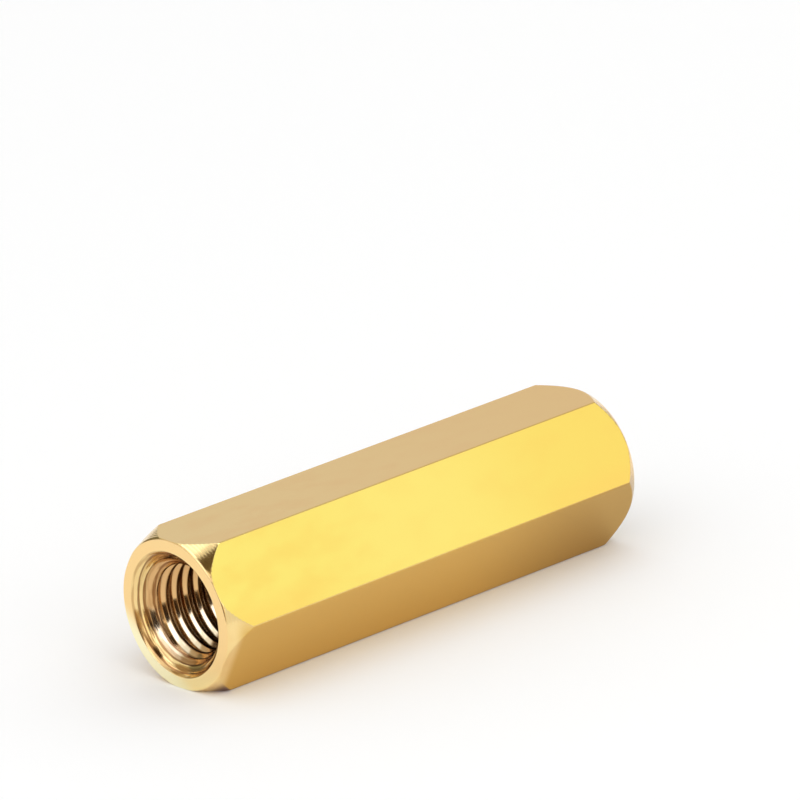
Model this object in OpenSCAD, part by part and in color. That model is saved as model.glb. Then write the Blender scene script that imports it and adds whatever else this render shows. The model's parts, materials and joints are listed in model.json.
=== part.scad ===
// Hex standoff: one piece of brass bar with a tapped bore right through it.
// It lies on one of its flats. The bore runs along X and Z is up.
// The origin is under the middle of the part, on the surface that it lies on.

/* [Bar] */
// Width across the flats of the drawn hexagon bar
across_flats = 7; // [6.8:0.1:12]
// Length from end face to end face
standoff_length = 25; // [12:0.5:60]
// Radius on the six long corners of the drawn bar
bar_corner_r = 0.12; // [0.05:0.01:0.3]

/* [Near end] */
// How far the turned face at -X stays inside the flats. Below 0 it runs out over them
near_face_inset = -0.03; // [-0.08:0.01:0.2]
// Slope of this end's conical corner chamfer against the axis of the bore, in degrees
near_chamfer_angle = 23; // [15:1:45]

/* [Far end] */
// How far the turned face at +X stays inside the flats. Below 0 it runs out over them
far_face_inset = 0.08; // [-0.08:0.01:0.2]
// Slope of this end's conical corner chamfer against the axis of the bore, in degrees
far_chamfer_angle = 35; // [15:1:45]

/* [Both ends] */
// Radius that softens the outer edge of each end face
face_edge_r = 0.15; // [0.05:0.01:0.2]

/* [Bore] */
// Outside diameter of the screw that the bore is tapped for
screw_d = 5; // [3:0.1:5.2]
// Pitch of the screw thread
thread_pitch = 0.8; // [0.5:0.05:1]
// How far the countersunk mouth opens past the screw, on each side
mouth_clearance = 0.45; // [0.2:0.05:0.5]
// Full angle of the countersink, in degrees
countersink_angle = 90; // [45:5:120]
// Radius that softens the lip between the end face and the countersink
mouth_edge_r = 0.12; // [0.05:0.01:0.15]

/* [Hidden] */
brass = [0.86, 0.7, 0.36];
$fn = 96;
// Straight steps in each small rounded edge
edge_steps = 6;
// The chamfer cone runs this far past the bar's corners, so that it cuts them clean
overrun = 1;

flat_r = across_flats / 2;
end_x = standoff_length / 2;
cone_r = flat_r / cos(30) + overrun;
// The tapping drill leaves a bore of the screw's diameter less one pitch
bore_r = (screw_d - thread_pitch) / 2;
mouth_r = screw_d / 2 + mouth_clearance;
sink_slope = countersink_angle / 2;
sink_depth = (mouth_r - bore_r) / tan(sink_slope);

// Points along an arc from one angle to another
function arc_points(centre, r, from, to) =
    [
        for (step = [0:edge_steps])
            let (angle = from + (to - from) * step / edge_steps)
                centre + r * [cos(angle), sin(angle)]
    ];

// How far the centre of a rounding of radius r stands from the sharp edge between an
// end face and a cone, along the face. slope is the cone's angle against the axis.
function rounding_setback(r, slope) = r * tan(45 - slope / 2);

// The lathe's outline at one end, as [radius, distance in from the end face]
function end_outline(face_inset, chamfer_angle) =
    let (
        face_r = flat_r - face_inset,
        lip = [mouth_r + rounding_setback(mouth_edge_r, sink_slope), mouth_edge_r],
        rim = [face_r - rounding_setback(face_edge_r, chamfer_angle), face_edge_r]
    )
    concat(
        [[bore_r, sink_depth]],
        arc_points(lip, mouth_edge_r, 180 + sink_slope, 270),
        arc_points(rim, face_edge_r, 270, 360 - chamfer_angle),
        [[cone_r, (cone_r - face_r) / tan(chamfer_angle)]]
    );

// What the lathe leaves, were the bar round: the bore, the countersinks,
// the end faces and the cones that chamfer the corners
module turned_form() {
    near = end_outline(near_face_inset, near_chamfer_angle);
    far = end_outline(far_face_inset, far_chamfer_angle);
    last = len(near) - 1;
    rotate([0, 90, 0])
        rotate_extrude()
            polygon(concat(
                [for (i = [0:last]) [near[i][0], near[i][1] - end_x]],
                [for (i = [last:-1:0]) [far[i][0], end_x - far[i][1]]]
            ));
}

// The drawn bar: a hexagon that lies on a flat, with its six long corners rounded
module hex_bar() {
    corner_centre_r = (flat_r - bar_corner_r) / cos(30);
    translate([-end_x, 0, 0])
        rotate([90, 0, 90])
            linear_extrude(height = standoff_length)
                polygon([
                    for (corner = [0:60:300])
                        each arc_points(
                            corner_centre_r * [cos(corner), sin(corner)],
                            bar_corner_r,
                            corner - 30,
                            corner + 30
                        )
                ]);
}

// One piece of bar, chamfered, bored and countersunk at both ends
module standoff() {
    color(brass)
        translate([0, 0, flat_r])
            intersection() {
                hex_bar();
                turned_form();
            }
}

standoff();
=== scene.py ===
"""A brass hex standoff, tapped at both ends, lying on one flat on a pale studio floor."""
import json
import math

import bpy
import numpy as np
from mathutils import Matrix, Vector


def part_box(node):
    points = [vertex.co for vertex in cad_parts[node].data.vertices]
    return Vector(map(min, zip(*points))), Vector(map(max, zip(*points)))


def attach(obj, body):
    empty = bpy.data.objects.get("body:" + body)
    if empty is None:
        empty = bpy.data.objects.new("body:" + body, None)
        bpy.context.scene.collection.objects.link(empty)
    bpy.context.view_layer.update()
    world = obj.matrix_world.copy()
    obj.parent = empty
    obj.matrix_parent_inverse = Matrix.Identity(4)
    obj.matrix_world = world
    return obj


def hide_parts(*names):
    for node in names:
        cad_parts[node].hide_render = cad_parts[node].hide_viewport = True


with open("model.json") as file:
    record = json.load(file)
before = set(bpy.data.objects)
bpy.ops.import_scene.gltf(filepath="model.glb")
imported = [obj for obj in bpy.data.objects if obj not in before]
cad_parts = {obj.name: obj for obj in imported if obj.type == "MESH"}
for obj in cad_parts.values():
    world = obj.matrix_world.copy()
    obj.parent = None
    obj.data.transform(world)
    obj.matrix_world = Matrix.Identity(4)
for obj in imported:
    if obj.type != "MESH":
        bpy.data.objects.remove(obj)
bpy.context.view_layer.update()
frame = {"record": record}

MM = 0.001

# Sizes that come from the frame, in metres
BAR_LOW, BAR_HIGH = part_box("standoff")
LENGTH = BAR_HIGH.x - BAR_LOW.x
FLAT_R = (BAR_HIGH.z - BAR_LOW.z) / 2
AXIS_Z = (BAR_HIGH.z + BAR_LOW.z) / 2
MOUNTS = {mount["name"]: mount for mount in frame["record"]["mounts"]}
BORE_R = MOUNTS["thread_near_end"]["dims"]["r_mm"] * MM

# The two ends, by the side of the middle that they lie on
NEAR, FAR = -1, 1

# The bar and its turned ends
BAR_CORNER_R = 0.12 * MM
FACE_R = {NEAR: FLAT_R + 0.03 * MM, FAR: FLAT_R - 0.08 * MM}
CHAMFER_SLOPE = {NEAR: math.radians(23), FAR: math.radians(35)}
RIM_R = 0.15 * MM
# The rounding where a chamfer meets a flat, and the most of a short chamfer that it may take
CREASE = 0.05 * MM
CREASE_SHARE = 0.4
RIM_SHARE = 0.9

# The countersunk mouth and the thread
MOUTH_R = 2.95 * MM
SINK_SLOPE = math.radians(45)
SINK_SOFTNESS = 0.03 * MM
LIP_R = 0.12 * MM
THREAD_DEPTH = 0.36 * MM
PITCH = 0.64 * MM
FIRST_CREST = 0.76 * MM
CREST_HALF = 0.065 * MM
FLANK_SLOPE = 1.3
THREAD_SOFTNESS = 0.04 * MM
CREST_SOFTNESS = 0.6 * THREAD_SOFTNESS
# Shallow marks that the tap leaves in the countersink: their depth, how much steeper than the
# thread they sink, how soft their floor is, and how far from the end face they start and are full
TAP_MARK = 0.06 * MM
TAP_MARK_STEEPNESS = 1.6
TAP_MARK_SOFTNESS = 0.15
TAP_MARK_START = 0.02 * MM
TAP_MARK_FULL = 0.2 * MM

# How finely the mesh is cut
FACE_COLUMNS = 22
CORNER_COLUMNS = 6
ROUNDING_STEPS = 6
CREASE_STEPS = 4
STATIONS_PER_TURN = 12
# The shortest step of the thread's mesh beside a mouth, as a share of a full one
LEAST_STEP = 0.3


def bar_columns():
    """Lines along the bar, as points on its outline with the direction each faces, in Y and Z."""
    corner_centre_r = (FLAT_R - BAR_CORNER_R) / math.cos(math.radians(30))
    points, facing = [], []
    for corner in range(6):
        middle = math.radians(60 * corner)
        centre = corner_centre_r * np.array([math.cos(middle), math.sin(middle)])
        for step in range(CORNER_COLUMNS + 1):
            turn = middle + math.radians(-30 + 60 * step / CORNER_COLUMNS)
            out = np.array([math.cos(turn), math.sin(turn)])
            points.append(centre + BAR_CORNER_R * out)
            facing.append(out)
        start = points[-1]
        next_middle = math.radians(60 * (corner + 1))
        next_centre = corner_centre_r * np.array([math.cos(next_middle), math.sin(next_middle)])
        flat_out = facing[-1]
        end = next_centre + BAR_CORNER_R * flat_out
        for step in range(1, FACE_COLUMNS):
            points.append(start + (end - start) * step / FACE_COLUMNS)
            facing.append(flat_out)
    return np.array(points), np.array(facing)


def mouth_lip():
    """Points and normals of the rounded edge between an end face and its countersink, face first.

    Each is (radius, distance in from the face).
    """
    setback = LIP_R * math.tan((math.pi / 2 - SINK_SLOPE) / 2)
    centre = np.array([MOUTH_R + setback, LIP_R])
    turns = np.linspace(0, math.pi / 2 - SINK_SLOPE, ROUNDING_STEPS + 1)
    normals = np.stack([-np.sin(turns), -np.cos(turns)], axis=1)
    return centre + LIP_R * normals, normals


class Rim:
    """The outside of one end on the lathe: a rounded edge, then the conical chamfer."""

    def __init__(self, side):
        self.slope = CHAMFER_SLOPE[side]
        self.centre_r = FACE_R[side] - RIM_R * math.tan((math.pi / 2 - self.slope) / 2)
        self.arc_run = RIM_R * (math.pi / 2 - self.slope)
        self.arc_end_r = self.centre_r + RIM_R * math.cos(self.slope)
        self.arc_end_depth = RIM_R * (1 - math.sin(self.slope))

    def run_to(self, r):
        """How far along the outline, from the flat of the end face, a radius is reached."""
        if r < self.arc_end_r:
            return RIM_R * math.asin((r - self.centre_r) / RIM_R)
        return self.arc_run + (r - self.arc_end_r) / math.sin(self.slope)

    def at(self, run):
        """The point there, as radius and depth, and the way it faces, as outward and along."""
        if run < self.arc_run:
            turn = run / RIM_R
            outward, along = math.sin(turn), -math.cos(turn)
            return (self.centre_r + RIM_R * outward, RIM_R * (1 + along)), (outward, along)
        past = run - self.arc_run
        r = self.arc_end_r + past * math.sin(self.slope)
        depth = self.arc_end_depth + past * math.cos(self.slope)
        return (r, depth), (math.cos(self.slope), -math.sin(self.slope))


def soft_max(a, b, softness):
    """The greater of two values, with the corner between them rounded."""
    return (a + b + np.sqrt((a - b) ** 2 + softness**2)) / 2


def soft_min(a, b, softness):
    return -soft_max(-a, -b, softness)


def smooth_step(value, low, high):
    """0 below low, 1 above high and a smooth rise between them."""
    share = np.clip((value - low) / (high - low), 0.0, 1.0)
    return share * share * (3 - 2 * share)


def bore_radius(turn, x):
    """The bore's radius at an angle and a place along the axis: thread, crests and countersinks."""
    crest_x = -LENGTH / 2 + FIRST_CREST
    phase = ((x - crest_x) / PITCH - turn / (2 * math.pi)) % 1.0
    off_crest = np.minimum(phase, 1 - phase) * PITCH - CREST_HALF
    down_flank = soft_max(off_crest, 0.0, CREST_SOFTNESS)
    groove = soft_min(FLANK_SLOPE * down_flank, THREAD_DEPTH, THREAD_SOFTNESS)
    depth = LENGTH / 2 - np.abs(x)
    cone = MOUTH_R - depth * math.tan(SINK_SLOPE)
    mark = soft_min(TAP_MARK_STEEPNESS * groove / THREAD_DEPTH, 1.0, TAP_MARK_SOFTNESS) * TAP_MARK
    mark *= smooth_step(depth, TAP_MARK_START, TAP_MARK_FULL)
    return soft_max(BORE_R + groove, cone + mark, SINK_SOFTNESS)


def bore_normal(turn, x):
    """The direction in which the bore's wall faces, as along the axis, out from it and round it."""
    step = 0.001 * MM
    turn_step = 0.0005
    r = bore_radius(turn, x)
    slope = (bore_radius(turn, x + step) - bore_radius(turn, x - step)) / (2 * step)
    twist = (bore_radius(turn + turn_step, x) - bore_radius(turn - turn_step, x)) / (2 * turn_step)
    normal = np.array([slope, -1.0, twist / r])
    return normal / np.linalg.norm(normal)


class Surface:
    """Points with their own normals, and the faces between them."""

    def __init__(self):
        self.points, self.normals, self.faces = [], [], []

    def point(self, place, normal):
        self.points.append(place)
        self.normals.append(normal)
        return len(self.points) - 1

    def face(self, *corners):
        kept = [c for i, c in enumerate(corners) if c != corners[i - 1]]
        if len(set(kept)) > 2:
            self.faces.append(kept)

    def strip(self, first, second):
        """Faces between two closed rings of points."""
        for i in range(len(first)):
            j = (i + 1) % len(first)
            self.face(first[i], second[i], second[j], first[j])

    def mesh(self, name):
        made = bpy.data.meshes.new(name)
        made.from_pydata([tuple(p) for p in self.points], [], self.faces)
        made.polygons.foreach_set("use_smooth", [True] * len(made.polygons))
        made.normals_split_custom_set_from_vertices([tuple(n) for n in self.normals])
        return made


class StandoffSurface(Surface):
    """The whole standoff: flats, corners, chamfers, end faces, mouths and thread.

    Its points stand in columns, each at its own angle round the axis, outside and in the bore.
    """

    def __init__(self):
        super().__init__()
        outline, self.facing = bar_columns()
        self.reach = np.hypot(outline[:, 0], outline[:, 1])
        self.out = outline / self.reach[:, None]
        self.turns = np.unwrap(np.arctan2(self.out[:, 1], self.out[:, 0]))
        self.columns = range(len(outline))
        self.lip_points, self.lip_normals = mouth_lip()
        self.bore_end_x = LENGTH / 2 - self.lip_points[-1][1]

        ends = {side: self.end_rings(side) for side in (NEAR, FAR)}
        self.strip(ends[FAR][-1], ends[NEAR][-1])
        mouths = {side: self.mouth_ring(side) for side in (NEAR, FAR)}
        self.strip(ends[NEAR][0], mouths[NEAR])
        self.strip(mouths[FAR], ends[FAR][0])
        self.bore_wall(mouths)

    def direction(self, column, along, outward, round_axis=0.0):
        """A direction, given along the axis, out from it at a column and round it."""
        y, z = self.out[column]
        return (along, outward * y - round_axis * z, outward * z + round_axis * y)

    def stand(self, column, x, r, normal):
        """A point of a column, at a place along the axis and a radius."""
        y, z = self.out[column]
        return self.point((x, y * r, AXIS_Z + z * r), normal)

    def lip_ring(self, side, place, facing):
        """A ring on the rounded edge of a mouth, from its radius and depth."""
        r, depth = place
        outward, along = facing
        ring = []
        for c in self.columns:
            normal = self.direction(c, -side * along, outward)
            ring.append(self.stand(c, side * (LENGTH / 2 - depth), r, normal))
        return ring

    def rim_ring(self, side, rim, runs, share):
        """A ring on the rounded edge of an end face, at a share of the way round it."""
        ring = []
        for c in self.columns:
            before = runs[c] - min(CREASE, CREASE_SHARE * runs[c])
            run = min(rim.arc_run, RIM_SHARE * before) * share
            (r, depth), (outward, along) = rim.at(run)
            normal = self.direction(c, -side * along, outward)
            ring.append(self.stand(c, side * (LENGTH / 2 - depth), r, normal))
        return ring

    def crease_ring(self, side, rim, runs, share):
        """A ring on the rounding between a chamfer and the flats, at a share of the way over it."""
        ring = []
        for c in self.columns:
            crease = min(CREASE, CREASE_SHARE * runs[c])
            (start_r, start_depth), (outward, along) = rim.at(runs[c] - crease)
            corner_depth = rim.at(runs[c])[0][1]
            start = np.array([start_depth, start_r])
            corner = np.array([corner_depth, self.reach[c]])
            end = np.array([corner_depth + crease, self.reach[c]])
            depth, r = (
                (1 - share) ** 2 * start + 2 * share * (1 - share) * corner + share**2 * end
            )
            on_end = np.array(self.direction(c, -side * along, outward))
            on_flat = np.array([0.0, self.facing[c, 0], self.facing[c, 1]])
            normal = (1 - share) * on_end + share * on_flat
            normal /= np.linalg.norm(normal)
            ring.append(self.stand(c, side * (LENGTH / 2 - depth), r, tuple(normal)))
        return ring

    def end_rings(self, side):
        """The rings of one end, from the lip of its mouth out to the flats, with their faces."""
        rim = Rim(side)
        runs = [rim.run_to(r) for r in self.reach]
        lip = list(zip(self.lip_points[:-1], self.lip_normals[:-1]))
        rings = [self.lip_ring(side, place, facing) for place, facing in reversed(lip)]
        for step in range(ROUNDING_STEPS + 1):
            rings.append(self.rim_ring(side, rim, runs, step / ROUNDING_STEPS))
        for step in range(CREASE_STEPS + 1):
            rings.append(self.crease_ring(side, rim, runs, step / CREASE_STEPS))
        for first, second in zip(rings, rings[1:]):
            if side == NEAR:
                self.strip(second, first)
            else:
                self.strip(first, second)
        return rings

    def bore_point(self, column, x):
        """The point of a column on the wall of the bore."""
        turn = self.turns[column]
        normal = self.direction(column, *bore_normal(turn, x))
        return self.stand(column, x, bore_radius(turn, x), normal)

    def mouth_ring(self, side):
        """The ring where the lip of a mouth goes over into the countersink."""
        return [self.bore_point(c, side * self.bore_end_x) for c in self.columns]

    def bore_wall(self, mouths):
        """The bore between its mouths, in stations that follow the thread round."""
        step_x = PITCH / STATIONS_PER_TURN
        furthest = int(math.ceil(self.bore_end_x / step_x)) + 2 * STATIONS_PER_TURN
        stations = range(-furthest, furthest)
        inner_end_x = self.bore_end_x - LEAST_STEP * step_x
        grid = {}
        for c in self.columns:
            lead = PITCH * self.turns[c] / (2 * math.pi)
            for station in stations:
                x = station * step_x + lead
                if x < -inner_end_x:
                    grid[c, station] = mouths[NEAR][c]
                elif x > inner_end_x:
                    grid[c, station] = mouths[FAR][c]
                else:
                    grid[c, station] = self.bore_point(c, x)
        for c in self.columns:
            after = (c + 1) % len(self.columns)
            shift = STATIONS_PER_TURN if after < c else 0
            for station in stations[: -STATIONS_PER_TURN - 1]:
                self.face(
                    grid[c, station],
                    grid[c, station + 1],
                    grid[after, station + 1 + shift],
                    grid[after, station + shift],
                )


class Value:
    """A socket that plain Python arithmetic can be done with."""

    def __init__(self, graph, socket):
        self.graph, self.socket = graph, socket

    def _math(self, operation, *values):
        return self.graph.node("ShaderNodeMath", {"operation": operation}, *values)[0]

    def __add__(self, other):
        return self._math("ADD", self, other)

    def __radd__(self, other):
        return self._math("ADD", other, self)

    def __sub__(self, other):
        return self._math("SUBTRACT", self, other)

    def __rsub__(self, other):
        return self._math("SUBTRACT", other, self)

    def __mul__(self, other):
        return self._math("MULTIPLY", self, other)

    def __rmul__(self, other):
        return self._math("MULTIPLY", other, self)

    def __truediv__(self, other):
        return self._math("DIVIDE", self, other)

    def __rtruediv__(self, other):
        return self._math("DIVIDE", other, self)

    def __abs__(self):
        return self._math("ABSOLUTE", self)

    def root(self):
        return self._math("SQRT", self)

    def sine(self):
        return self._math("SINE", self)

    def between(self, low, high):
        """0 below low, 1 above high and a smooth rise between them."""
        return self.graph.node(
            "ShaderNodeMapRange",
            {"interpolation_type": "SMOOTHSTEP"},
            Value=self,
            From_Min=low,
            From_Max=high,
        )[0]


# Which output of a node is meant
OBJECT_PLACE = 3
SURFACE_NORMAL = 1
IS_CAMERA_RAY = 0
# The sockets of a Mix node that mixes colours: its share, the two colours and the result
MIX_INPUTS = (0, 6, 7)
MIX_RESULT = 2


class Graph:
    """The nodes of one material or world."""

    def __init__(self, tree):
        self.tree = tree
        tree.nodes.clear()

    def fill(self, sockets, values):
        """Gives each socket its value, or the link that it takes it from."""
        for socket, value in zip(sockets, values):
            if isinstance(value, Value):
                self.tree.links.new(value.socket, socket)
            else:
                socket.default_value = value

    def node(self, kind, settings=None, *values, **named):
        """Adds a node: its settings first, then the values or links of its sockets."""
        made = self.tree.nodes.new(kind)
        for name, setting in (settings or {}).items():
            setattr(made, name, setting)
        self.fill(made.inputs, values)
        self.fill([made.inputs[name.replace("_", " ")] for name in named], named.values())
        return [Value(self, output) for output in made.outputs]

    def mix(self, share, first, second):
        """One colour going over into another."""
        made = self.tree.nodes.new("ShaderNodeMix")
        made.data_type = "RGBA"
        self.fill([made.inputs[index] for index in MIX_INPUTS], (share, first, second))
        return Value(self, made.outputs[MIX_RESULT])

    def noise(self, vector):
        return self.node("ShaderNodeTexNoise", None, Vector=vector, Scale=1.0, Detail=2.0)[0]


def new_material(name):
    """A material and the graph of its nodes."""
    material = bpy.data.materials.new(name)
    material.use_nodes = True
    return material, Graph(material.node_tree)


def rgb(red, green, blue):
    """A colour written as it is seen, from 0 to 255, in the renderer's linear light."""
    linear = []
    for part in (red, green, blue):
        share = part / 255
        linear.append(share / 12.92 if share <= 0.04045 else ((share + 0.055) / 1.055) ** 2.4)
    return (*linear, 1.0)


# The bare brass at the near and the far end, and where it is cloudy
NEAR_BRASS = rgb(249, 219, 153)
FAR_BRASS = rgb(248, 209, 138)
CLOUDY_BRASS = rgb(247, 206, 138)
# The flat that faces up and to the front: its far end, clouds, a painted highlight in its middle
# and a painted warm reflection along its lower edge
SUNNY_FAR_BRASS = rgb(248, 208, 137)
SUNNY_CLOUDY_BRASS = rgb(248, 206, 137)
MIDDLE_HIGHLIGHT_BRASS = rgb(252, 225, 170)
WARM_REFLECTION_BRASS = rgb(250, 202, 137)
# The bore, darker as painted shade, and the side of it that lies low on the left, paler as a
# painted highlight; the thread's crests and roots, darker as painted shade
BORE_SHADE_BRASS = rgb(225, 181, 124)
BORE_HIGHLIGHT_BRASS = rgb(253, 234, 196)
CREST_SHADE_BRASS = rgb(100, 74, 44)
ROOT_SHADE_BRASS = rgb(145, 114, 80)
# The streaks and the arcs in the countersink, darker brown as painted shade
STREAK_SHADE_BRASS = rgb(185, 138, 86)
ARC_SHADE_BRASS = rgb(128, 80, 38)
# The ring of an end face, its lower part, lighter as a painted reflection, and its palest patch,
# a painted highlight
RING_BRASS = rgb(251, 214, 149)
LOW_RING_REFLECTION_BRASS = rgb(255, 233, 168)
RING_HIGHLIGHT_BRASS = rgb(255, 247, 203)
# The surfaces that face down, at the near and the far end, darker as painted shade, and their
# brown foot, a painted shade line along the corner next to the floor
NEAR_UNDER_SHADE_BRASS = rgb(223, 181, 94)
FAR_UNDER_SHADE_BRASS = rgb(190, 150, 76)
FOOT_SHADE_BRASS = rgb(150, 100, 66)

# Marks in the brass: the lathe's feed on the chamfers, the tap's chatter in the countersink,
# and the scales of the noise, per metre on x, y and z where there are three
LATHE_FEED = 0.14 * MM
LATHE_WAVER = 3.0
CHATTER = 0.27 * MM
CHATTER_WAVER = 7.0
TURNED_NOISE_SCALE = 7.0 / MM
STREAKS_ROUND = 1.3
STREAK_DEPTH = 0.16 * MM
CLOUD_SCALE = (500.0, 900.0, 900.0)
DRAWN_LINE_SCALE = (300.0, 9000.0, 9000.0)
BUMP_STRENGTH = 0.25
BUMP_HEIGHT = 0.02 * MM
# How high each kind of mark stands, as shares of the bump's height
LATHE_HEIGHT = 0.5
FEED_HEIGHT = 0.5
DRAWN_LINE_HEIGHT = 0.04
STREAK_HEIGHT = 0.8
ARC_HEIGHT = 0.9
# The roughness of the bare brass, and what chamfers, clouds and the mouths add to it
BARE_ROUGHNESS = 0.1
TURNED_ROUGHNESS = 0.03
CLOUD_ROUGHNESS = 0.04
MOUTH_ROUGHNESS = 0.03

# Where one finish, painted shade or painted highlight goes over into the next, as the two edges of
# a soft change. First radii
CONE_EDGE = (-0.06 * MM, -0.02 * MM)
BORE_EDGE = (BORE_R + THREAD_DEPTH, BORE_R + THREAD_DEPTH + 0.1 * MM)
MOUTH_EDGE = (MOUTH_R, MOUTH_R + 0.06 * MM)
CREST_EDGE = (BORE_R + 0.02 * MM, BORE_R + 0.07 * MM)
ROOT_EDGE = (BORE_R + 0.19 * MM, BORE_R + 0.26 * MM)
OUTSIDE_EDGE = (3.0 * MM, 3.2 * MM)
# Depths in from an end face
END_FACE_DEPTH = (0.02 * MM, 0.06 * MM)
CHAMFER_START = (0.02 * MM, 0.08 * MM)
FLATS_START = (0.3 * MM, 0.9 * MM)
ROOTS_START = (0.7 * MM, 0.8 * MM)
MOUTH_DEPTH = (0.8 * MM, 0.9 * MM)
# Distances from the middle of the bar
FAR_HALF_START = (0.0, 1.0 * MM)
MIDDLE_HIGHLIGHT_END = (1.0 * MM, 8.0 * MM)
WARM_REFLECTION_START = (4.0 * MM, 11.0 * MM)
# Heights over the axis or below it, and distances from it to the lower left
WARM_REFLECTION_TOP = (0.1 * MM, 1.4 * MM)
LOW_RING_REFLECTION_START = (1.6 * MM, 3.2 * MM)
RING_HIGHLIGHT_START = (2.0 * MM, 2.95 * MM)
BORE_HIGHLIGHT_START = (1.5 * MM, 2.2 * MM)
LOWER_LEFT_Y = 0.57
LOWER_LEFT_DOWN = 0.82
# How squarely a surface faces the front and 30 degrees up, or down
FRONT_LEAN = math.radians(30)
UPPER_FRONT_FACING = (0.93, 0.99)
UNDER_FACING = (-0.2, 0.15)
FOOT_FACING = (0.56, 0.8)
# Values of the noise or of a ripple
CLOUD_EDGE = (0.4, 0.75)
STREAK_EDGE = (0.45, 0.6)
ARC_EDGE = (0.2, 0.95)
# A share of the bar's length
FAR_UNDER_SHADE_START = (0.55, 1.0)

# How strongly each colour shows where it is full
CLOUD_STRENGTH = 0.5
SUNNY_CLOUD_STRENGTH = 0.6
MIDDLE_HIGHLIGHT_STRENGTH = 0.35
WARM_REFLECTION_STRENGTH = 0.7
STREAK_SHADE_STRENGTH = 0.6
ARC_SHADE_STRENGTH = 0.8
THREAD_SHADE_STRENGTH = 0.8


class BrassPlaces:
    """Where a point of the standoff lies, and how much it has of each finish and painted shade, from
    0 to 1.
    """

    def __init__(self, graph):
        self.graph = graph
        self.place = graph.node("ShaderNodeTexCoord")[OBJECT_PLACE]
        self.x, self.y, z = graph.node("ShaderNodeSeparateXYZ", None, self.place)
        self.up = z - AXIS_Z
        self.radius = (self.y * self.y + self.up * self.up).root()
        self.depth = LENGTH / 2 - abs(self.x)
        self.along = self.x / LENGTH + 0.5
        # How far below and to the left of the axis a point lies, seen from the near end
        self.lower_left = self.y * LOWER_LEFT_Y - self.up * LOWER_LEFT_DOWN
        facing = graph.node("ShaderNodeNewGeometry")[SURFACE_NORMAL]
        _, facing_y, facing_up = graph.node("ShaderNodeSeparateXYZ", None, facing)
        self.mouth_and_ends()
        self.outer_faces(facing_y, facing_up)

    def mouth_and_ends(self):
        """The turned chamfers, the end faces, the countersinks and the thread, whose bore, crests
        and roots take painted shade.
        """
        radius, depth = self.radius, self.depth
        self.turned = 0.0
        for side in (NEAR, FAR):
            face_depth = LENGTH / 2 - side * self.x
            cone_r = face_depth * math.tan(CHAMFER_SLOPE[side]) + FACE_R[side]
            self.turned = self.turned + (radius - cone_r).between(*CONE_EDGE)
        self.bored = 1 - radius.between(*BORE_EDGE)
        self.in_mouth = (1 - depth.between(*MOUTH_DEPTH)) * (1 - radius.between(*MOUTH_EDGE))
        # Where painted shade goes on the thread's crests and roots
        self.crests = self.bored * (1 - radius.between(*CREST_EDGE))
        self.roots = self.bored * radius.between(*ROOT_EDGE) * depth.between(*ROOTS_START)
        self.end_face = (1 - depth.between(*END_FACE_DEPTH)) * (1 - self.in_mouth)

    def outer_faces(self, facing_y, facing_up):
        """The flat that faces the front and up, and the surfaces that face down, where painted shade
        goes, with a painted shade line at their foot.
        """
        outside = self.radius.between(*OUTSIDE_EDGE)
        on_flats = self.depth.between(*FLATS_START)
        far_chamfer = self.depth.between(*CHAMFER_START) * self.x.between(*FAR_HALF_START)
        facing_front = facing_up * math.sin(FRONT_LEAN) - facing_y * math.cos(FRONT_LEAN)
        facing_down = 0.0 - facing_up
        self.upper_front = facing_front.between(*UPPER_FRONT_FACING) * outside
        # Where painted shade goes on the surfaces that face down, and a painted shade line at their
        # foot
        self.under = facing_down.between(*UNDER_FACING) * (on_flats + far_chamfer) * outside
        self.foot = facing_down.between(*FOOT_FACING) * on_flats * outside

    def stretched_noise(self, scale):
        return self.graph.noise(
            self.graph.node("ShaderNodeMapping", None, self.place, Scale=scale)[0]
        )

    def turned_noise(self):
        """Noise that is the same all the way round the axis."""
        on_lathe = self.graph.node(
            "ShaderNodeCombineXYZ",
            None,
            self.depth * TURNED_NOISE_SCALE,
            self.radius * TURNED_NOISE_SCALE,
            0.0,
        )[0]
        return self.graph.node(
            "ShaderNodeTexNoise",
            {"noise_dimensions": "2D"},
            Vector=on_lathe,
            Scale=1.0,
            Detail=2.0,
        )[0]

    def streaks(self):
        """Noise drawn out round the axis."""
        around = self.graph.node(
            "ShaderNodeCombineXYZ",
            None,
            self.y / self.radius * STREAKS_ROUND,
            self.up / self.radius * STREAKS_ROUND,
            self.depth / STREAK_DEPTH,
        )[0]
        return self.graph.noise(around)


def ripple(depth, pitch, waver):
    """Marks at a pitch along the axis, from -1 to 1, put out of step by the waver."""
    return (depth / pitch * (2 * math.pi) + waver).sine()


def upper_front_colour(places, cloud):
    """The flat that faces up and to the front: a painted highlight in its middle and a painted warm
    reflection along its lower edge.
    """
    mix = places.graph.mix
    away = abs(places.x)
    colour = mix(places.along, NEAR_BRASS, SUNNY_FAR_BRASS)
    clouds = cloud.between(*CLOUD_EDGE) * SUNNY_CLOUD_STRENGTH
    colour = mix(clouds, colour, SUNNY_CLOUDY_BRASS)
    # A painted highlight in the middle of the flat
    middle = (1 - away.between(*MIDDLE_HIGHLIGHT_END)) * MIDDLE_HIGHLIGHT_STRENGTH
    colour = mix(middle, colour, MIDDLE_HIGHLIGHT_BRASS)
    # A painted warm reflection along the flat's lower edge, toward its ends
    warm = (1 - places.up.between(*WARM_REFLECTION_TOP)) * away.between(*WARM_REFLECTION_START) * WARM_REFLECTION_STRENGTH
    return mix(warm, colour, WARM_REFLECTION_BRASS)


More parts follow.
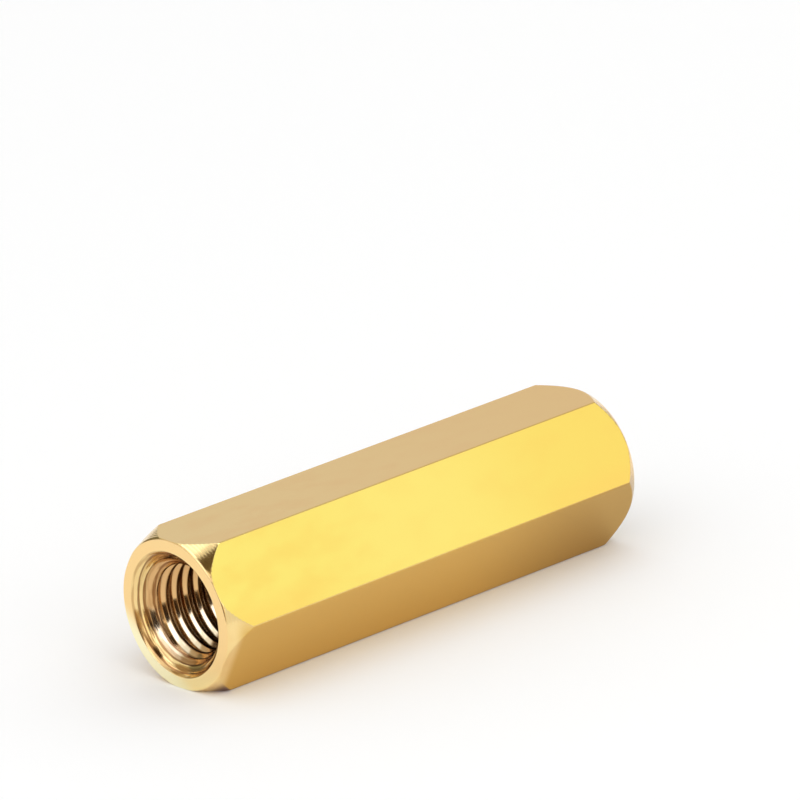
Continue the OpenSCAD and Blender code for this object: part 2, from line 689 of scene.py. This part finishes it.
def bore_colour(places, outer_colour, streaks, arcs):
    """The colour with the bore's painted shade and highlight, the painted shade of its streaks and
    arcs, and the painted shade of the thread's crests and roots in it.
    """
    mix = places.graph.mix
    # Painted shade darkens the bore, and a painted highlight lightens its side low on the left
    bore = mix(places.lower_left.between(*BORE_HIGHLIGHT_START), BORE_SHADE_BRASS, BORE_HIGHLIGHT_BRASS)
    colour = mix(places.bored, outer_colour, bore)
    # Painted shade: the countersink darker brown along its streaks and arcs, which the bump also
    # raises
    streak_shade = places.in_mouth * streaks.between(*STREAK_EDGE) * STREAK_SHADE_STRENGTH
    colour = mix(streak_shade, colour, STREAK_SHADE_BRASS)
    arc_shade = places.in_mouth * arcs.between(*ARC_EDGE) * ARC_SHADE_STRENGTH
    colour = mix(arc_shade, colour, ARC_SHADE_BRASS)
    # Painted shade on the thread's crests and roots
    colour = mix(places.crests * THREAD_SHADE_STRENGTH, colour, CREST_SHADE_BRASS)
    return mix(places.roots * THREAD_SHADE_STRENGTH, colour, ROOT_SHADE_BRASS)


def ring_colour(places):
    """The ring of an end face, lighter low down as a painted reflection, with a painted highlight
    low on the left.
    """
    mix = places.graph.mix
    # A painted reflection lightens the ring's lower part, and a painted highlight lies low on the
    # left
    low = (0.0 - places.up).between(*LOW_RING_REFLECTION_START)
    pale = places.lower_left.between(*RING_HIGHLIGHT_START)
    return mix(pale, mix(low, RING_BRASS, LOW_RING_REFLECTION_BRASS), RING_HIGHLIGHT_BRASS)


def brass_colour(places, cloud, streaks, arcs):
    """The colour of the whole standoff, each finish, painted shade and painted highlight laid over
    the ones before it.
    """
    mix = places.graph.mix
    colour = mix(places.along, NEAR_BRASS, FAR_BRASS)
    colour = mix(cloud.between(*CLOUD_EDGE) * CLOUD_STRENGTH, colour, CLOUDY_BRASS)
    # The flat facing up and to the front, with its painted highlight and painted warm reflection
    colour = mix(places.upper_front, colour, upper_front_colour(places, cloud))
    colour = bore_colour(places, colour, streaks, arcs)
    colour = mix(places.end_face, colour, ring_colour(places))
    # Painted shade on the surfaces that face down, darker toward the far end, and a painted shade
    # line at their foot
    under = mix(places.along.between(*FAR_UNDER_SHADE_START), NEAR_UNDER_SHADE_BRASS, FAR_UNDER_SHADE_BRASS)
    colour = mix(places.under, colour, under)
    return mix(places.foot, colour, FOOT_SHADE_BRASS)


def polished_brass():
    material, graph = new_material("polished_brass")
    places = BrassPlaces(graph)
    lathe = places.turned_noise()
    streaks = places.streaks()
    cloud = places.stretched_noise(CLOUD_SCALE)
    drawn_lines = places.stretched_noise(DRAWN_LINE_SCALE)
    feed = ripple(places.depth, LATHE_FEED, lathe * LATHE_WAVER)
    arcs = ripple(places.depth, CHATTER, streaks * CHATTER_WAVER)

    turned, in_mouth = places.turned, places.in_mouth
    height = turned * (lathe * LATHE_HEIGHT + feed * FEED_HEIGHT)
    height = height + (1 - turned) * drawn_lines * DRAWN_LINE_HEIGHT
    height = height + in_mouth * (streaks * STREAK_HEIGHT + arcs * ARC_HEIGHT)
    roughness = BARE_ROUGHNESS + turned * TURNED_ROUGHNESS + cloud * CLOUD_ROUGHNESS
    roughness = roughness + in_mouth * MOUTH_ROUGHNESS
    bump = graph.node(
        "ShaderNodeBump", None, Strength=BUMP_STRENGTH, Distance=BUMP_HEIGHT, Height=height
    )[0]
    shader = graph.node(
        "ShaderNodeBsdfPrincipled",
        None,
        Base_Color=brass_colour(places, cloud, streaks, arcs),
        Metallic=1.0,
        Roughness=roughness,
        Normal=bump,
    )[0]
    graph.node("ShaderNodeOutputMaterial", None, Surface=shader)
    return material


FLOOR_PALE = (0.97, 0.97, 0.97, 1.0)
FLOOR_ROUGHNESS = 0.9
# How far the floor reaches back and to each side, how far its front edge lies toward the
# camera, and the azimuth that this edge is square to
FLOOR_REACH = 2.0
FLOOR_FRONT = 0.03
FLOOR_AZIMUTH = -139.5

# The even light of the tent round the standoff, and the backdrop that the camera sees instead
TENT = (0.88, 0.88, 0.88, 1.0)
BACKDROP = (0.985, 0.985, 0.985, 1.0)

# Azimuth (0 toward +Y, 90 toward +X) and elevation of each card's middle, and half its width
# and height, all in degrees, and its light. A later card hangs in front of an earlier one.
# Only what is polished mirrors the cards.
CARDS = [
    (14.0, 44.0, 24.0, 14.0, (0.75, 0.74, 0.76, 1.0)),
    (10.0, 62.0, 18.0, 26.0, (1.25, 1.4, 1.5, 1.0)),
    (150.0, 58.0, 48.0, 20.0, (2.8, 2.85, 3.0, 1.0)),
    (-62.0, 68.0, 24.0, 9.0, (2.1, 2.1, 2.3, 1.0)),
    (85.0, 47.0, 35.0, 10.0, (0.6, 0.56, 0.42, 1.0)),
    (85.0, 22.0, 28.0, 16.0, (0.5, 0.48, 0.4, 1.0)),
    (40.0, 18.0, 20.0, 22.0, (0.74, 0.71, 0.68, 1.0)),
    (-6.0, 17.0, 26.0, 13.0, (0.2, 0.19, 0.14, 1.0)),
    (-28.0, 38.0, 15.0, 12.0, (0.46, 0.36, 0.24, 1.0)),
    (137.0, 27.0, 30.0, 22.0, (1.05, 1.16, 0.6, 1.0)),
    (-168.0, 71.0, 30.0, 13.0, (0.11, 0.075, 0.035, 1.0)),
    (-168.0, 48.0, 20.0, 13.0, (0.6, 0.5, 0.33, 1.0)),
    (-141.0, 30.0, 15.0, 24.0, (1.3, 1.22, 1.12, 1.0)),
    (-91.0, 24.0, 21.0, 13.0, (1.8, 1.8, 2.0, 1.0)),
    (-84.0, 47.0, 17.0, 8.0, (1.3, 1.3, 1.4, 1.0)),
    (-122.0, 32.0, 11.0, 13.0, (0.6, 0.48, 0.36, 1.0)),
    (-129.0, 4.0, 11.0, 13.0, (0.5, 0.36, 0.22, 1.0)),
    (-102.5, 3.0, 15.5, 15.0, (0.03, 0.018, 0.01, 1.0)),
    (-97.0, 7.0, 14.0, 12.0, (0.03, 0.018, 0.01, 1.0)),
    (140.0, -1.0, 36.0, 7.0, (0.55, 0.45, 0.3, 1.0)),
    (82.0, -1.0, 20.0, 7.0, (0.5, 0.4, 0.28, 1.0)),
]
# The pale sheet behind the camera, written as a card is. It lights the floor, and no metal
# mirrors it.
FRONT_SHEET = (-150.0, 48.0, 38.0, 24.0, (2.25, 2.25, 2.25, 1.0))
FARTHEST_CARD = 1.6
CARD_GAP = 0.05

# The camera that was fitted to the photo, in an image of 800 by 800 pixels: its focal length
# and the pixel at which the middle of the standoff's axis is seen, its distance and its angles
IMAGE = 800
FOCAL_PX = 9272.6
MIDDLE_SEEN_AT = (382.8, 535.9)
CAMERA_DISTANCE = 60 * 2 * FLAT_R
CAMERA_AZIMUTH = math.radians(-40.545)
CAMERA_ELEVATION = math.radians(19.984)
CAMERA_ROLL = math.radians(-4.483)
SENSOR_WIDTH = 36.0


def toward(azimuth, elevation):
    """A direction, azimuth 0 along +Y and 90 along +X."""
    a, e = math.radians(azimuth), math.radians(elevation)
    return Vector((math.sin(a) * math.cos(e), math.cos(a) * math.cos(e), math.sin(e)))


def add_object(name, data):
    made = bpy.data.objects.new(name, data)
    bpy.context.scene.collection.objects.link(made)
    return made


def stage_sheet(name, corners, material):
    """A flat sheet with four corners that isn't part of the standoff."""
    mesh = bpy.data.meshes.new(name)
    mesh.from_pydata([tuple(corner) for corner in corners], [], [(0, 1, 2, 3)])
    mesh.materials.append(material)
    sheet = add_object(name, mesh)
    return sheet


def floor_card():
    material, graph = new_material("floor_card")
    shader = graph.node(
        "ShaderNodeBsdfPrincipled", None, Base_Color=FLOOR_PALE, Roughness=FLOOR_ROUGHNESS
    )[0]
    graph.node("ShaderNodeOutputMaterial", None, Surface=shader)
    return material


def glowing_card(name, light):
    material, graph = new_material(name)
    glow = graph.node("ShaderNodeEmission", None, Color=light, Strength=1.0)[0]
    graph.node("ShaderNodeOutputMaterial", None, Surface=glow)
    return material


def lay_floor():
    to_camera = toward(FLOOR_AZIMUTH, 0.0)
    front = to_camera * FLOOR_FRONT
    back = to_camera * -FLOOR_REACH
    half_edge = Vector((0.0, 0.0, 1.0)).cross(to_camera) * FLOOR_REACH
    corners = [front - half_edge, front + half_edge, back + half_edge, back - half_edge]
    stage_sheet("floor", corners, floor_card())


def studio_light():
    """The tent's even light, and the backdrop that the camera sees in its place."""
    world = bpy.data.worlds.new("studio")
    bpy.context.scene.world = world
    world.use_nodes = True
    graph = Graph(world.node_tree)
    tent = graph.node("ShaderNodeBackground", None, Color=TENT, Strength=1.0)[0]
    backdrop = graph.node("ShaderNodeBackground", None, Color=BACKDROP, Strength=1.0)[0]
    seen = graph.node("ShaderNodeLightPath")[IS_CAMERA_RAY]
    mixed = graph.node("ShaderNodeMixShader", None, seen, tent, backdrop)[0]
    graph.node("ShaderNodeOutputWorld", None, Surface=mixed)


def hang(name, distance, azimuth, elevation, half_width, half_height, light):
    """A glowing card at a distance, square to the line from the standoff."""
    aim = toward(azimuth, elevation) * distance
    side = aim.cross(Vector((0.0, 0.0, 1.0))).normalized()
    rise = side.cross(aim).normalized() * math.tan(math.radians(half_height)) * distance
    side *= math.tan(math.radians(half_width)) * distance
    corners = [aim - side - rise, aim + side - rise, aim + side + rise, aim - side + rise]
    card = stage_sheet(name, corners, glowing_card(name, light))
    card.visible_camera = False
    return card


def hang_cards():
    """Pale and dark cards that the polished faces mirror, and the sheet that lights the floor."""
    for order, place_and_light in enumerate(CARDS):
        card = hang("card_%02d" % order, FARTHEST_CARD - order * CARD_GAP, *place_and_light)
        card.visible_diffuse = False
    sheet = hang("front_sheet", FARTHEST_CARD + CARD_GAP, *FRONT_SHEET)
    sheet.visible_glossy = False


def photo_camera():
    """The camera at the photo's viewing angle, turned so that the standoff lies where it does."""
    target = Vector((0.0, 0.0, AXIS_Z))
    back = Vector(
        (
            math.sin(CAMERA_AZIMUTH) * math.cos(CAMERA_ELEVATION),
            -math.cos(CAMERA_AZIMUTH) * math.cos(CAMERA_ELEVATION),
            math.sin(CAMERA_ELEVATION),
        )
    )
    right = Vector((math.cos(CAMERA_AZIMUTH), math.sin(CAMERA_AZIMUTH), 0.0))
    up = back.cross(right)
    rolled_right = math.cos(CAMERA_ROLL) * right + math.sin(CAMERA_ROLL) * up
    rolled_up = -math.sin(CAMERA_ROLL) * right + math.cos(CAMERA_ROLL) * up
    aim_x = (MIDDLE_SEEN_AT[0] - IMAGE / 2) / FOCAL_PX
    aim_y = (IMAGE / 2 - MIDDLE_SEEN_AT[1]) / FOCAL_PX
    forward = (-back - aim_x * rolled_right - aim_y * rolled_up).normalized()
    side = forward.cross(rolled_up).normalized()
    camera_up = side.cross(forward)

    data = bpy.data.cameras.new("photo_camera")
    data.sensor_width = SENSOR_WIDTH
    data.lens = SENSOR_WIDTH * FOCAL_PX / IMAGE
    data.clip_start = 0.01
    data.clip_end = 10.0
    camera = add_object("photo_camera", data)
    turn = Matrix((side, camera_up, -forward)).transposed().to_4x4()
    camera.matrix_world = Matrix.Translation(target + back * CAMERA_DISTANCE) @ turn
    bpy.context.scene.camera = camera


def make_standoff():
    mesh = StandoffSurface().mesh("brass_standoff")
    mesh.materials.append(polished_brass())
    piece = add_object("brass_standoff", mesh)
    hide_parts("standoff")
    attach(piece, "root")


make_standoff()
lay_floor()
studio_light()
hang_cards()
photo_camera()
bpy.context.scene.view_settings.view_transform = "Standard"
